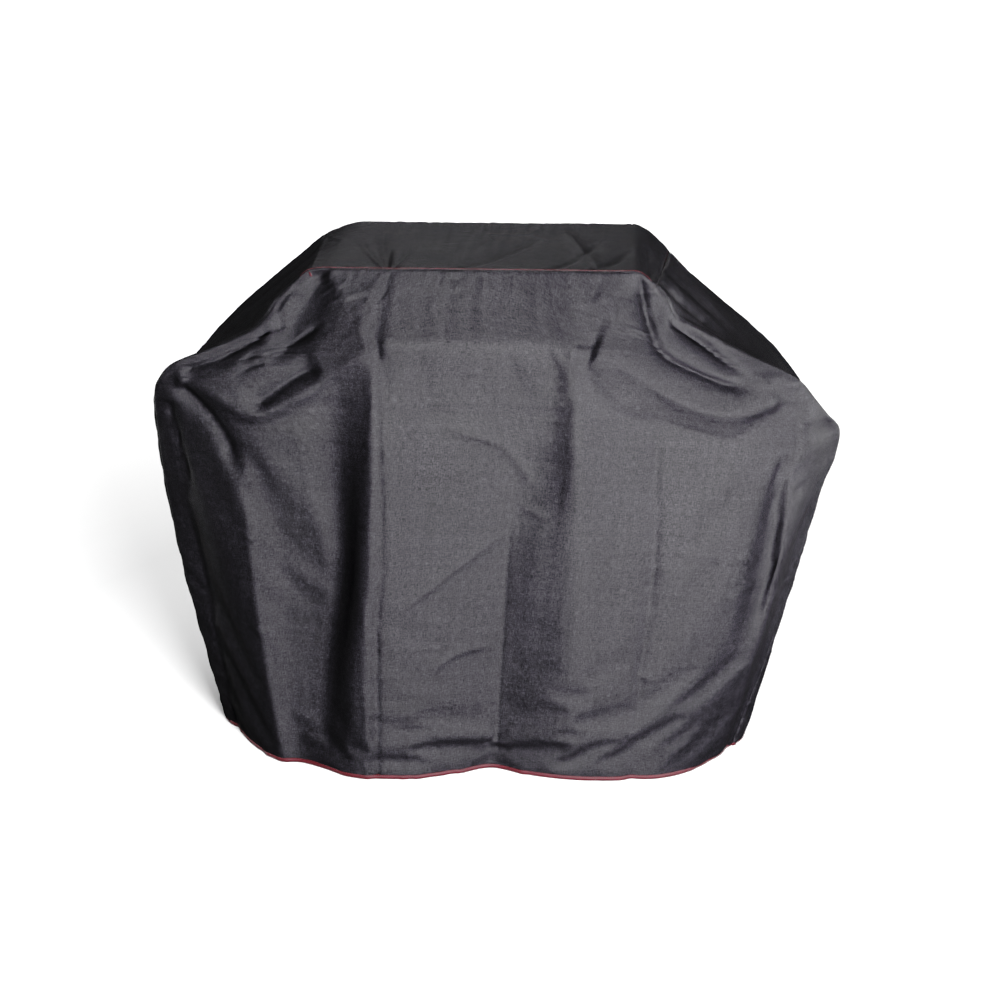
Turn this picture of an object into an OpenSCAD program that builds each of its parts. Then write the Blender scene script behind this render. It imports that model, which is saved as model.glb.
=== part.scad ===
// Fitted rain cover for a cart grill with a lid and two side shelves.
// A front and a back panel are sewn to a band that runs over the top: a left
// side, a top and a right side. Bound seams, thread and a taped hem finish it.
// Frame: +Z up, front faces -Y, origin under the middle of the hem.

/* [Overall] */
// Width across the shelf ends, the widest place
cover_w = 1470; // [1350:10:1600]
// Depth from front to back at the hem
cover_d = 640; // [600:5:700]
// Height from the hem to the flat top
cover_h = 1130; // [1040:10:1220]

/* [Hood] */
// Length of the flat top over the closed lid
top_w = 650; // [560:10:760]
// Depth of the flat top
top_d = 410; // [340:10:460]
// Height of the brow where the cloth passes over the lid handle
brow_h = 1005; // [970:5:1030]
// How far the brow stands in front of the flat top's front edge
brow_out = 82; // [50:2:95]
// How far the cloth swells behind the flat top's back edge at brow height
back_swell = 46; // [20:2:80]

/* [Shelves] */
// Height of the shelf ends' top edge
shelf_h = 875; // [820:5:900]
// Drop from that edge to the widest place, round the shelf end's face
shelf_drop = 60; // [40:5:80]
// How far the side bulges past its front and back seams at the widest place
shelf_bulge = 80; // [40:2:90]
// How far the front and back stand past the corner seams at the shelf
corner_back = 34; // [20:2:60]

/* [Skirt] */
// Width across the hem
hem_w = 1200; // [1100:10:1300]
// How far the hem's sides bulge past its corner seams
hem_bulge = 70; // [30:2:80]
// How far the front and back of the hem stand past the corner seams
hem_corner_back = 68; // [30:2:80]
// Height of each hanging fold, valley to crest, halved, at the hem
fold_depth = 6; // [0:1:10]
// Folds across the front and the back
wide_folds = 3; // [1:1:5]
// Folds across each side
side_folds = 1; // [1:1:2]

/* [Cloth] */
// Thickness that stands for the coated cloth with its hems and slack
cloth_t = 3; // [2.5:0.5:4]
// Height of the hem tape
hem_tape_h = 11; // [9:1:16]
// Thickness of the hem tape
tape_t = 1; // [0.8:0.1:1.4]
// Width of the tape bound over each inner seam allowance
seam_tape_w = 13; // [10:1:18]
// Thickness of a bound seam allowance
seam_t = 2; // [1.6:0.1:2.4]
// Thickness of the sewing thread rows
thread_t = 1.2; // [0.8:0.1:1.4]
// Distance from a seam to its thread row
thread_inset = 8; // [6:1:12]

/* [Hidden] */

cloth_colour = [0.16, 0.16, 0.17];
band_colour = [0.13, 0.13, 0.14];
tape_colour = [0.42, 0.09, 0.13];
thread_colour = [0.55, 0.13, 0.18];

clear = 0.3;                 // gap between neighbouring pieces
seam_gap = 2.4;              // how far a panel's edge stops short of its seam line
wide_top_gap = 5.5;          // the same, down from the top's front and back edges
side_top_gap = 3;            // the same, down from the top's ends
flatness = 5;                // higher numbers keep a panel flatter and its corners tighter
cols_wide = 40;              // facets across the front and back
cols_side = 16;              // facets across each side
step = 0.001;                // small step for slopes

widest_h = shelf_h - shelf_drop;
widest_x = cover_w / 2 - shelf_bulge;
shelf_x = widest_x - 10;
shelf_y = cover_d / 2 - 40;
skirt_x = hem_w / 2 - hem_bulge;
skirt_y = cover_d / 2 - fold_depth - tape_t - clear * 4 / 3 - thread_t;

// Heights of the rows of facets, from the hem to the top
rows = [
    tape_t + clear, hem_tape_h + 2, widest_h * 0.25, widest_h * 0.5, widest_h * 0.75,
    widest_h * 0.9, widest_h, (widest_h + shelf_h) / 2, shelf_h, (shelf_h * 2 + brow_h) / 3,
    (shelf_h + brow_h * 2) / 3, brow_h, brow_h + (cover_h - brow_h) * 0.15,
    (brow_h + cover_h) / 2
];

// The skirt hangs straight behind the hem tape
function hang(z) = max(z, hem_tape_h + 2);

// Profiles, each a distance from the middle at a height
function seam_x(z) = lookup(hang(z), [
    [0, skirt_x], [widest_h * 0.5, skirt_x * 0.4 + widest_x * 0.6], [widest_h, widest_x],
    [shelf_h, shelf_x], [cover_h, top_w / 2]]);
function bulge(z) = lookup(hang(z), [
    [0, hem_bulge], [widest_h * 0.75, shelf_bulge * 0.8], [widest_h, shelf_bulge],
    [shelf_h, shelf_bulge * 0.6], [brow_h, 14], [cover_h, 0]]);
function front_reach(z) = lookup(hang(z), [
    [0, skirt_y], [shelf_h, shelf_y], [brow_h, top_d / 2 + brow_out],
    [brow_h + (cover_h - brow_h) * 0.15, top_d / 2 + brow_out * 0.93], [cover_h, top_d / 2]]);
function back_reach(z) = lookup(hang(z), [
    [0, skirt_y], [shelf_h, shelf_y - 12], [brow_h, top_d / 2 + back_swell], [cover_h, top_d / 2]]);
function corner(z) = lookup(hang(z), [
    [0, hem_corner_back], [shelf_h, corner_back], [brow_h, 46], [cover_h, 0]]);
function fold(z) = fold_depth * max(0, 1 - hang(z) / (shelf_h * 0.9));

// Points on the cloth: across is -1 to 1, and side is 1 for the right or -1 for the left
function round_off(across) = pow(abs(across), flatness);
function ripple(across, folds) = cos(360 * folds * across) * (1 - round_off(across));
function front_point(across, z) = [
    across * seam_x(z),
    -front_reach(z) + corner(z) * round_off(across) - fold(z) * ripple(across, wide_folds),
    z];
function back_point(across, z) = [
    across * seam_x(z),
    back_reach(z) - corner(z) * round_off(across) + fold(z) * ripple(across, wide_folds),
    z];
function seam_front_y(z) = -front_reach(z) + corner(z);
function seam_back_y(z) = back_reach(z) - corner(z);
function side_point(across, z, side) = [
    side * (seam_x(z) + bulge(z) * (1 - round_off(across)) + fold(z) * 0.5 * (ripple(across, side_folds) - 1)
        * (1 - round_off(across))),
    seam_front_y(z) + (seam_back_y(z) - seam_front_y(z)) * (across + 1) / 2,
    z];

function unit(v) = v / norm(v);
// Outward direction of a sheet given as a function of (across, z)
function outward(sheet_at, across, z, flip) = unit(flip * cross(
    sheet_at(across + step, z) - sheet_at(across - step, z),
    sheet_at(across, z + step) - sheet_at(across, z - step)));

// A cloth panel: the sheet between two seams, thickened inwards
module panel(sheet_at, flip, cols, edge, top_gap) {
    across = [for (i = [0:cols]) (i * 2 / cols - 1) * (1 - edge)];
    heights = concat(rows, [cover_h - top_gap]);
    n_col = cols + 1;
    n_row = len(heights);
    outer = [for (z = heights, a = across) sheet_at(a, z)];
    inner = [for (z = heights, a = across) sheet_at(a, z) - cloth_t * outward(sheet_at, a, z, flip)];
    n = len(outer);
    function at(row, col, layer) = layer * n + row * n_col + col;
    skins = [for (r = [0:n_row - 2], c = [0:cols - 1]) each [
        [at(r, c, 0), at(r + 1, c, 0), at(r + 1, c + 1, 0)],
        [at(r, c, 0), at(r + 1, c + 1, 0), at(r, c + 1, 0)],
        [at(r, c, 1), at(r + 1, c + 1, 1), at(r + 1, c, 1)],
        [at(r, c, 1), at(r, c + 1, 1), at(r + 1, c + 1, 1)]]];
    ends = [for (r = [0:n_row - 2]) each [
        [at(r, 0, 0), at(r, 0, 1), at(r + 1, 0, 1)],
        [at(r, 0, 0), at(r + 1, 0, 1), at(r + 1, 0, 0)],
        [at(r, cols, 0), at(r + 1, cols, 1), at(r, cols, 1)],
        [at(r, cols, 0), at(r + 1, cols, 0), at(r + 1, cols, 1)]]];
    top = n_row - 1;
    rims = [for (c = [0:cols - 1]) each [
        [at(0, c, 0), at(0, c + 1, 1), at(0, c, 1)],
        [at(0, c, 0), at(0, c + 1, 0), at(0, c + 1, 1)],
        [at(top, c, 0), at(top, c, 1), at(top, c + 1, 1)],
        [at(top, c, 0), at(top, c + 1, 1), at(top, c + 1, 0)]]];
    all_faces = concat(skins, ends, rims);
    faces = flip > 0 ? all_faces : [for (f = all_faces) [f[0], f[2], f[1]]];
    polyhedron(concat(outer, inner), faces);
}

// A flat strip of constant width that follows a path; ups point across its thickness
module strip(path, ups, width, low, high) {
    n = len(path);
    function along(i) = unit(path[min(i + 1, n - 1)] - path[max(i - 1, 0)]);
    function sideways(i) = unit(cross(along(i), ups[i]));
    points = [for (i = [0:n - 1]) each [
        path[i] - sideways(i) * width / 2 + ups[i] * low,
        path[i] + sideways(i) * width / 2 + ups[i] * low,
        path[i] + sideways(i) * width / 2 + ups[i] * high,
        path[i] - sideways(i) * width / 2 + ups[i] * high]];
    walls = [for (i = [0:n - 2], k = [0:3]) each [
        [i * 4 + k, i * 4 + (k + 1) % 4, i * 4 + 4 + k],
        [i * 4 + (k + 1) % 4, i * 4 + 4 + (k + 1) % 4, i * 4 + 4 + k]]];
    last = (n - 1) * 4;
    caps = [[0, 2, 1], [0, 3, 2], [last, last + 1, last + 2], [last, last + 2, last + 3]];
    polyhedron(points, concat(walls, caps));
}

// The seam that runs up one corner, over the flat top's edge and down the other corner.
// front is 1 for the front seam or -1 for the back seam.
seam_rows = [for (z = rows) if (z > hem_tape_h) z];
top_steps = [for (i = [0:8]) i / 4 - 1];
function seam_y(z, front) = front > 0 ? seam_front_y(z) : seam_back_y(z);
function seam_path(front) = concat(
    [for (z = seam_rows) [-seam_x(z), seam_y(z, front), z]],
    [for (a = top_steps) [a * top_w / 2, -front * top_d / 2, cover_h]],
    [for (i = [len(seam_rows) - 1:-1:0]) let (z = seam_rows[i]) [seam_x(z), seam_y(z, front), z]]);
function corner_inward(side, z, front) = z < shelf_h ? unit([-side, front * 1.1, 0])
    : z > shelf_h ? unit([-0.41 * side, front * 0.75, -0.57]) : unit([-side, front, -0.5]);
function seam_inward(front) = concat(
    [for (z = seam_rows) corner_inward(-1, z, front)],
    [for (a = top_steps) [0, 0, -1]],
    [for (i = [len(seam_rows) - 1:-1:0]) corner_inward(1, seam_rows[i], front)]);

module long_seam_binding(front) {
    strip(seam_path(front), seam_inward(front), seam_t, -0.5, seam_tape_w);
}

// The row of thread beside a long seam, on the front or back panel
function thread_across(z) = 1 - thread_inset / seam_x(z);
function thread_path(sheet_at) = concat(
    [for (z = seam_rows) sheet_at(-thread_across(z), z)],
    [for (a = top_steps) sheet_at(a * thread_across(cover_h), cover_h - thread_inset)],
    [for (i = [len(seam_rows) - 1:-1:0]) let (z = seam_rows[i]) sheet_at(thread_across(z), z)]);
function thread_out(sheet_at, flip) = concat(
    [for (z = seam_rows) outward(sheet_at, -thread_across(z), z, flip)],
    [for (a = top_steps) outward(sheet_at, a * thread_across(cover_h), cover_h - thread_inset, flip)],
    [for (i = [len(seam_rows) - 1:-1:0]) let (z = seam_rows[i])
        outward(sheet_at, thread_across(z), z, flip)]);

module long_seam_stitching(sheet_at, flip) {
    strip(thread_path(sheet_at), thread_out(sheet_at, flip), thread_t, clear / 3, clear / 3 + thread_t);
}

// The hem in plan, moved outwards by grow
function hem_points() = let (
    wide = [for (i = [0:cols_wide - 1]) i * 2 / cols_wide - 1],
    narrow = [for (i = [0:cols_side - 1]) i * 2 / cols_side - 1],
    plan = concat(
        [for (a = wide) front_point(a, 0)], [for (a = narrow) side_point(a, 0, 1)],
        [for (a = wide) back_point(-a, 0)], [for (a = narrow) side_point(-a, 0, -1)]))
    [for (p = plan) [p[0], p[1]]];
function hem_outline(grow) = let (p = hem_points(), n = len(p)) [for (i = [0:n - 1])
    let (ahead = unit(p[(i + 1) % n] - p[(i + n - 1) % n])) p[i] + grow * [ahead[1], -ahead[0]]];

module hem_ring(grow, shrink, height) {
    outer = hem_outline(grow);
    inner = hem_outline(-shrink);
    n = len(outer);
    linear_extrude(height = height)
        polygon(concat(outer, inner), paths = [[for (i = [0:n - 1]) i], [for (i = [0:n - 1]) n + i]]);
}

right_point = function (a, z) side_point(a, z, 1);
left_point = function (a, z) side_point(a, z, -1);
front_face = function (a, z) front_point(a, z);
back_face = function (a, z) back_point(a, z);
wide_edge = seam_gap / (top_w / 2) * 0.8;
side_edge = seam_gap / (top_d / 2) * 0.8;

// Sub-parts
module front_panel() {
    color(cloth_colour) panel(front_face, 1, cols_wide, wide_edge, wide_top_gap);
}

module back_panel() {
    color(cloth_colour) panel(back_face, -1, cols_wide, wide_edge, wide_top_gap);
}

module top_panel() {
    color(band_colour) translate([0, 0, cover_h - cloth_t]) linear_extrude(height = cloth_t)
        square([top_w - 2 * seam_gap, top_d - 2 * seam_gap], center = true);
}

module left_side_panel() {
    color(band_colour) panel(left_point, -1, cols_side, side_edge, side_top_gap);
}

module right_side_panel() {
    color(band_colour) panel(right_point, 1, cols_side, side_edge, side_top_gap);
}

module front_seam_binding() {
    color(tape_colour) long_seam_binding(1);
}

module back_seam_binding() {
    color(tape_colour) long_seam_binding(-1);
}

// The short seam between the flat top and a side
module top_seam_binding(side) {
    length = top_d - 2 * (seam_tape_w + seam_t);
    translate([side * top_w / 2, 0, cover_h - seam_tape_w / 2])
        cube([seam_t, length, seam_tape_w], center = true);
}

module left_top_seam_binding() {
    color(tape_colour) top_seam_binding(-1);
}

module right_top_seam_binding() {
    color(tape_colour) top_seam_binding(1);
}

// The tape folded over the raw edge of the skirt
module hem_binding() {
    color(tape_colour) difference() {
        hem_ring(tape_t + clear, cloth_t + clear + tape_t, hem_tape_h);
        translate([0, 0, tape_t]) hem_ring(clear, cloth_t + clear, hem_tape_h);
    }
}

module front_seam_stitching() {
    color(thread_colour) long_seam_stitching(front_face, 1);
}

module back_seam_stitching() {
    color(thread_colour) long_seam_stitching(back_face, -1);
}

module top_seam_stitching(side) {
    length = top_d - 2 * thread_inset;
    translate([side * (top_w / 2 - thread_inset), 0, cover_h + clear / 3 + thread_t / 2])
        cube([thread_t, length, thread_t], center = true);
}

module left_top_seam_stitching() {
    color(thread_colour) top_seam_stitching(-1);
}

module right_top_seam_stitching() {
    color(thread_colour) top_seam_stitching(1);
}

// One row of thread round the outside of the hem tape
module hem_stitching() {
    thread_z = hem_tape_h * 0.6;
    inside = tape_t + clear * 4 / 3;
    color(thread_colour) translate([0, 0, thread_z])
        hem_ring(inside + thread_t, -inside, thread_t);
}

front_panel();
back_panel();
top_panel();
left_side_panel();
right_side_panel();
front_seam_binding();
back_seam_binding();
left_top_seam_binding();
right_top_seam_binding();
hem_binding();
front_seam_stitching();
back_seam_stitching();
left_top_seam_stitching();
right_top_seam_stitching();
hem_stitching();
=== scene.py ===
"""A fitted fabric cover for a cart grill, standing in the shape that it takes over the grill.

Cloth panels are laid out on grids that share their seam lines, draped over a hidden
stand-in for the grill, then given their creases, seams, bindings, hem tape and thread.
All lengths are metres.  The front faces -Y and the hem rests on z = 0.
"""
import math

import bpy
import numpy as np
from mathutils import Euler, Matrix, Vector


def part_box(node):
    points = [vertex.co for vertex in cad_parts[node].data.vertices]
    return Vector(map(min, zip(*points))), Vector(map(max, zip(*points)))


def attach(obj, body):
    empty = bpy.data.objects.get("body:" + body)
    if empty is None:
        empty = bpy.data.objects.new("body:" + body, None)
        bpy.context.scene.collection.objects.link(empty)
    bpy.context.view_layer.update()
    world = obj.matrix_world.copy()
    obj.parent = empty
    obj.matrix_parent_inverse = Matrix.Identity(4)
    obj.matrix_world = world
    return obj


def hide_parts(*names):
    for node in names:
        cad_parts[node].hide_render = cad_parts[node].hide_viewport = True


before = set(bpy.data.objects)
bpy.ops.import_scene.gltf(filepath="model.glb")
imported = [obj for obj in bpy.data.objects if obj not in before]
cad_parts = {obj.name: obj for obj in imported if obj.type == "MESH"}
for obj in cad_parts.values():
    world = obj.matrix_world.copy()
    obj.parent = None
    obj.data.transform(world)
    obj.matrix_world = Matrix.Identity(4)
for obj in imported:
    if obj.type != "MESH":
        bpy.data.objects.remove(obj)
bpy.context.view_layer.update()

# -------- sizes from the frame
FRONT, BACK, TOP = "front_panel", "back_panel", "top_panel"
LEFT, RIGHT = "left_side_panel", "right_side_panel"
TOP_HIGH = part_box(TOP)[1]
HEM_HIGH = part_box("hem_binding")[1]
SIDE_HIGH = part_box(RIGHT)[1]

# The outline points below are given for a cover of this half width, half depth and height
OUTLINE_SIZE = np.array((0.735, 0.320, 1.130))
SCALE = np.array((SIDE_HIGH[0], HEM_HIGH[1], TOP_HIGH[2])) / OUTLINE_SIZE

HOOD_X = 0.325               # half length of the flat top
HOOD_Y = 0.205               # half depth of the flat top
TOP_Z = 1.130                # height of the flat top
BROW_X = 0.207               # half length of the lid handle under the cloth
BROW_Y = -0.288              # where the cloth passes over the handle
BROW_Z = 1.003               # height of that brow

# -------- cloth and tape
CLOTH_T = 0.0013             # thickness of the coated cloth
TAPE_T = 0.0011              # thickness of the hem tape
TAPE_H = 0.0105              # height of the hem tape
SEAM_TAPE_W = 0.012          # width of the bound seam allowances inside
THREAD_R = 0.00048           # radius of the sewing thread
STITCH = 0.0046              # length of one stitch with its gap
STITCH_SHARE = 0.72          # the stitch's share of that length

# -------- grids
ROWS = 104                   # cells from the hem up to the flat top
WIDE = 108                   # cells across the front, the back and the top
DEEP = 44                    # cells across the sides and the top's depth


def through(points, at):
    """A smooth curve through a few (place, value) points, read at the given places."""
    knots = np.array(points, float)
    x, y = knots[:, 0], knots[:, 1]
    slope = np.gradient(y, x)
    at = np.clip(at, x[0], x[-1])
    k = np.clip(np.searchsorted(x, at, side="right") - 1, 0, len(x) - 2)
    h = x[k + 1] - x[k]
    t = (at - x[k]) / h
    return ((2 * t**3 - 3 * t**2 + 1) * y[k] + (t**3 - 2 * t**2 + t) * h * slope[k]
            + (3 * t**2 - 2 * t**3) * y[k + 1] + (t**3 - t**2) * h * slope[k + 1])


def between(a, b, c, d, t):
    """The smooth curve through a, b, c and d, from b at t = 0 to c at t = 1."""
    return 0.5 * (2 * b + (c - a) * t + (2 * a - 5 * b + 4 * c - d) * t**2
                  + (3 * b - a - 3 * c + d) * t**3)


def run_along(path):
    """The length along a path up to each of its points."""
    return np.concatenate([[0], np.cumsum(np.linalg.norm(np.diff(path, axis=0), axis=1))])


def spline(points, count):
    """A smooth path through a few points in space, as count + 1 points an equal way apart."""
    p = np.array(points, float)
    p = np.vstack([2 * p[0] - p[1], p, 2 * p[-1] - p[-2]])
    t = np.linspace(0, 1, 25)[:, None]
    legs = [between(*four, t) for four in zip(p, p[1:], p[2:], p[3:])]
    path = np.vstack([leg[:-1] for leg in legs] + [p[-2][None]])
    run = run_along(path)
    even = np.linspace(0, run[-1], count + 1)
    return np.stack([np.interp(even, run, path[:, k]) for k in range(p.shape[1])], -1)


def soft_max(values, softness):
    """The largest of several surfaces, with its corners rounded."""
    stack = np.stack(np.broadcast_arrays(*values)) / softness
    top = stack.max(axis=0)
    return softness * (top + np.log(np.exp(stack - top).sum(axis=0)))


def smooth_step(low, high, value):
    """0 below low, 1 above high, and a smooth ramp between."""
    t = np.clip((value - low) / (high - low), 0, 1)
    return t * t * (3 - 2 * t)


# -------- the four corner seams
# Each from the hem up the corner, round the shelf end, up the slope to the flat top.  Lists
# of points are in millimetres; MM turns them into metres.
MM = 1000
SEAM_FRONT_LEFT = [
    (-630, -105, 0), (-660, -105, 150), (-698, -110, 380), (-713, -120, 530), (-718, -140, 660),
    (-713, -166, 765), (-701, -200, 849), (-680, -225, 893), (-643, -237, 932), (-568, -235, 963),
    (-467, -222, 1010), (-414, -210, 1076), (-355, -206, 1124)]
SEAM_FRONT_RIGHT = [
    (552, -140, 0), (577, -146, 95), (612, -150, 220), (652, -150, 385), (684, -150, 525),
    (710, -152, 645), (733, -160, 730), (736, -172, 790), (712, -195, 827), (668, -224, 886),
    (639, -233, 920), (600, -231, 942), (532, -225, 970), (437, -215, 1014), (392, -211, 1038),
    (370, -208, 1078), (349, -206, 1102)]
SEAM_BACK_LEFT = [
    (-600, 110, 0), (-640, 118, 200), (-685, 130, 420), (-706, 142, 600), (-712, 162, 740),
    (-694, 184, 826), (-652, 200, 882), (-600, 208, 932), (-525, 208, 997), (-440, 205, 1066),
    (-395, 204, 1100)]
SEAM_BACK_RIGHT = [
    (585, 115, 0), (630, 122, 200), (672, 132, 420), (694, 146, 600), (702, 164, 700),
    (688, 180, 768), (654, 198, 816), (614, 206, 862), (550, 208, 920), (500, 208, 960),
    (426, 206, 1022), (380, 204, 1070)]

# The skirt hangs in strands: each is a line down the cloth, as (along, out) at these heights,
# which are in metres
STRAND_HEIGHTS = (0.0, 0.25, 0.50, 0.80, 1.0)
FRONT_STRANDS = {
    "outer_left": ((-600, 162), (-625, 152), (-650, 150), (-675, 222), (-680, 225)),
    "left_turn": ((-545, 217), (-575, 200), (-600, 206), (-625, 222), (-625, 240)),
    "left_crease": ((-462, 272), (-490, 256), (-503, 252), (-540, 252), (-565, 250)),
    "left_band": ((-425, 274), (-430, 251), (-430, 246), (-480, 260), (-500, 265)),
    "left_flat": ((-385, 287), (-380, 252), (-350, 249), (-400, 262), (-400, 275)),
    "valley_foot": ((-362, 298), (-348, 258), (-302, 257), (-290, 266), (-290, 281)),
    "crest_back": ((-300, 328), (-284, 314), (-258, 306), (-240, 289), (-235, 286)),
    "left_crest": ((-252, 331), (-241, 319), (-229, 311), (-214, 299), (-207, 289)),
    "front_left": ((-150, 324), (-140, 307), (-130, 296), (-110, 283), (-110, 289)),
    "front_mid": ((-60, 296), (-45, 284), (-40, 279), (-20, 277), (-20, 289)),
    "mid_valley": ((8, 270), (30, 266), (50, 268), (100, 270), (95, 289)),
    "right_rise": ((85, 290), (105, 284), (120, 285), (150, 279), (150, 289)),
    "right_crest": ((165, 304), (180, 304), (192, 303), (188, 291), (200, 289)),
    "right_flat": ((285, 303), (285, 297), (290, 292), (300, 277), (300, 282)),
    "right_crease": ((325, 297), (336, 290), (350, 286), (356, 270), (356, 275)),
    "right_front": ((400, 283), (420, 285), (435, 285), (450, 270), (450, 272)),
    "right_turn": ((450, 257), (495, 268), (540, 274), (580, 264), (580, 264)),
    "corner_valley": ((500, 215), (552, 243), (592, 256), (618, 252), (618, 252)),
    "corner_fold": ((528, 186), (578, 238), (615, 274), (650, 254), (650, 254)),
    "outer_right": ((545, 160), (602, 196), (655, 214), (704, 208), (704, 208))}
BACK_STRANDS = {
    "outer_left": ((-575, 170), (-620, 180), (-650, 190), (-690, 212)),
    "left_fold": ((-500, 262), (-535, 250), (-570, 246), (-610, 250)),
    "left_dip": ((-430, 258), (-445, 248), (-450, 246), (-460, 258)),
    "left_crest": ((-340, 312), (-335, 298), (-330, 285), (-320, 268)),
    "left_valley": ((-200, 272), (-200, 262), (-205, 258), (-210, 262)),
    "middle": ((-50, 318), (-55, 302), (-60, 286), (-60, 268)),
    "mid_valley": ((90, 266), (85, 260), (80, 258), (80, 264)),
    "right_crest": ((230, 314), (235, 300), (245, 286), (260, 270)),
    "right_valley": ((350, 266), (360, 258), (370, 252), (390, 262)),
    "right_fold": ((470, 278), (500, 268), (540, 260), (600, 254)),
    "outer_right": ((555, 172), (605, 185), (645, 195), (690, 212))}
LEFT_STRANDS = {
    "front": ((-60, 644), (-65, 684), (-70, 722), (-120, 736)),
    "middle": ((0, 610), (5, 652), (10, 694), (0, 728)),
    "back": ((70, 634), (75, 676), (80, 712), (120, 734))}
RIGHT_STRANDS = {
    "front": ((-75, 592), (-80, 640), (-85, 690), (-110, 724)),
    "middle": ((0, 560), (0, 604), (5, 660), (0, 696)),
    "back": ((70, 598), (75, 642), (80, 680), (110, 690))}
# The side slopes between the flat top and the shelf ends, as (height, distance out)
LEFT_SLOPE = [(760, 760), (820, 716), (880, 658), (935, 600), (1000, 523), (1065, 436), (1100, 386),
              (1130, 330)]
RIGHT_SLOPE = [(750, 740), (800, 694), (850, 642), (900, 588), (950, 532), (1000, 474), (1060, 404),
               (1100, 360), (1130, 325)]


def tilted(anchor, slope_x, slope_z):
    """A flat surface through anchor (x, out, z), as a function of x and z."""
    return lambda x, z: anchor[1] + slope_x * (x - anchor[0]) + slope_z * (z - anchor[2])


def hang(strands, along, z):
    """How far out the skirt hangs, row by row, on smooth curves through its strands."""
    reach = np.empty_like(along)
    lines = np.array(list(strands.values())) / MM
    levels = STRAND_HEIGHTS[:lines.shape[1]]
    below = (levels[-1] - z.mean(axis=1)) / 0.025
    heights = np.maximum(levels[-1] - 0.025 * np.log1p(np.exp(below)), 0)
    places = [[through(list(zip(levels, line[:, k])), heights) for k in (0, 1)]
              for line in lines]
    for row in range(len(along)):
        reach[row] = through([(p[row], q[row]) for p, q in places], along[row])
    return reach


def front_reach(x, z):
    """How far the front panel stands out from the middle, before its folds."""
    brow = tilted((0, -BROW_Y, BROW_Z), 0, (HOOD_Y + BROW_Y) / (TOP_Z - BROW_Z))(x, z)
    right_tent = tilted((BROW_X, -BROW_Y, BROW_Z), -0.223, -0.504)(x, z)
    left_tent = tilted((-BROW_X, -BROW_Y, BROW_Z), 0.200, -0.420)(x, z)
    return -soft_max([-brow, -right_tent, -left_tent, -hang(FRONT_STRANDS, x, z)], 0.005)


def back_reach(x, z):
    """How far the back panel stands out from the middle, before its folds."""
    lid = tilted((0, HOOD_Y, TOP_Z), 0, -0.36)(x, z)
    right_tent = tilted((0.325, HOOD_Y, TOP_Z), -0.10, -0.34)(x, z)
    left_tent = tilted((-0.325, HOOD_Y, TOP_Z), 0.10, -0.34)(x, z)
    return -soft_max([-lid, -right_tent, -left_tent, -hang(BACK_STRANDS, x, z)], 0.010)


def side_reach(strands, slope_line):
    """How far a side panel stands out from the middle, before its folds."""
    def reach(y, z):
        slope = through(np.array(slope_line) / MM, z)
        return -soft_max([-slope, -hang(strands, y, z)], 0.012)
    return reach


def wall(seam_a, seam_b, cells, surface, axis, sign, hold):
    """A panel's grid between two corner seams; surface(across, z) is its distance out."""
    u = np.linspace(0, 1, cells + 1)[None, :, None]
    grid = seam_a[:, None] * (1 - u) + seam_b[:, None] * u
    out, along = axis, 1 - axis
    reach = surface(grid[..., along], grid[..., 2])
    miss_a = sign * seam_a[:, out] - reach[:, 0]
    miss_b = sign * seam_b[:, out] - reach[:, -1]
    flat_u = u[..., 0]
    reach = reach + miss_a[:, None] * (1 - flat_u) ** hold + miss_b[:, None] * flat_u ** hold
    grid[..., out] = sign * reach
    grid[:, 0], grid[:, -1] = seam_a, seam_b
    return grid


def lid_top(front_left, front_right, back_left, back_right):
    """The top panel's grid: flat on the lid, turned down a little over its ends."""
    u = np.linspace(0, 1, WIDE + 1)[None, :, None]
    v = np.linspace(0, 1, DEEP + 1)[:, None, None]
    grid = ((front_left * (1 - u) + front_right * u) * (1 - v)
            + (back_left * (1 - u) + back_right * u) * v)
    x, y, end_z = grid[..., 0], grid[..., 1], grid[..., 2]
    end_z = np.where(x < 0, end_z[:, :1], end_z[:, -1:])
    end_x = np.where(x < 0, x[:, :1], x[:, -1:])
    past = np.clip((np.abs(x) - 0.30) / (np.abs(end_x) - 0.30), 0, 1)
    sag = 0.004 * np.clip(1 - (x / HOOD_X) ** 2, 0, 1) * (1 - (y / HOOD_Y) ** 2)
    grid[..., 2] = TOP_Z - sag - (TOP_Z - end_z) * past ** 1.6
    return grid


def lay_out():
    """The five panels as grids of points that share their seam lines."""
    fl, fr, bl, br = [spline(np.array(seam) / MM, ROWS) for seam in
                      (SEAM_FRONT_LEFT, SEAM_FRONT_RIGHT, SEAM_BACK_LEFT, SEAM_BACK_RIGHT)]
    top = lid_top(fl[-1], fr[-1], bl[-1], br[-1])
    grids = {
        FRONT: wall(fl, fr, WIDE, front_reach, 1, -1, 26),
        RIGHT: wall(fr, br, DEEP, side_reach(RIGHT_STRANDS, RIGHT_SLOPE),
                                 0, 1, 7),
        BACK: wall(br, bl, WIDE, back_reach, 1, 1, 26),
        LEFT: wall(bl, fl, DEEP, side_reach(LEFT_STRANDS, LEFT_SLOPE),
                                0, -1, 7),
        TOP: top}
    for name, edge in ((FRONT, top[0]), (RIGHT, top[:, -1]),
                       (BACK, top[-1, ::-1]), (LEFT, top[::-1, 0])):
        grids[name][-1] = edge
    return {name: grid * SCALE for name, grid in grids.items()}


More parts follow.
